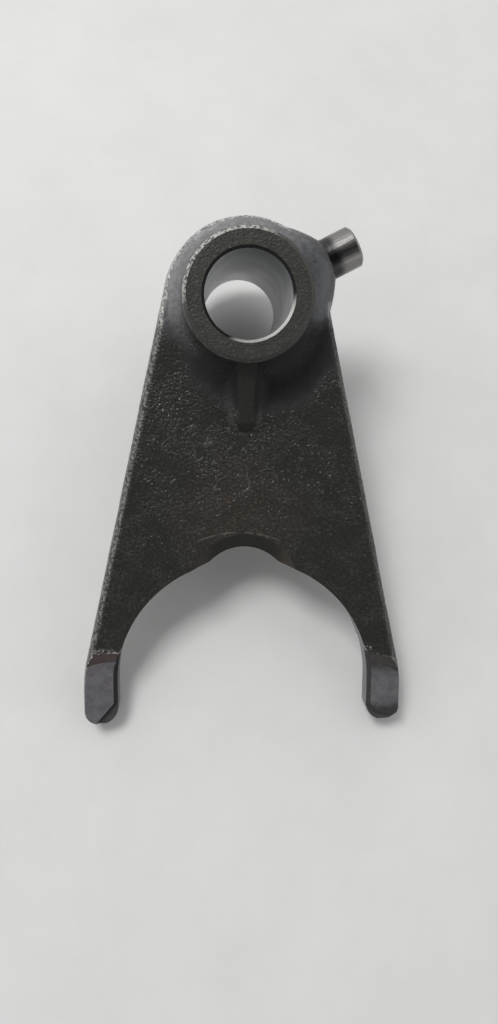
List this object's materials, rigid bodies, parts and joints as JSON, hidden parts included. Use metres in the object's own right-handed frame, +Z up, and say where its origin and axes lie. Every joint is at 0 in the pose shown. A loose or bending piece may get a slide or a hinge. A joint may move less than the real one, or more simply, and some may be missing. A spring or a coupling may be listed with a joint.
{
  "type": "shift fork",
  "caption": "Forged steel gearbox shift fork: bored boss, tapered web, two machined claws round an arch, and an integral follower pin.",
  "frame": {"origin": "on the shaft bore's axis, at the parting plane of the forging, which is the middle of the web and claws", "axes": "+Z up from the bench the fork lies on, +Y from the claws towards the boss, +X towards the follower pin's side; the bore axis leans from +Z towards -Y by the angle at which the fork rests"},
  "size_m": [0.0574, 0.0883, 0.0395],
  "materials": {
    "forged_steel": "dark forged skin with ground and polished working faces"
  },
  "bodies": {
    "root": {"shift_fork": "forged_steel"}
  },
  "joints": []
}
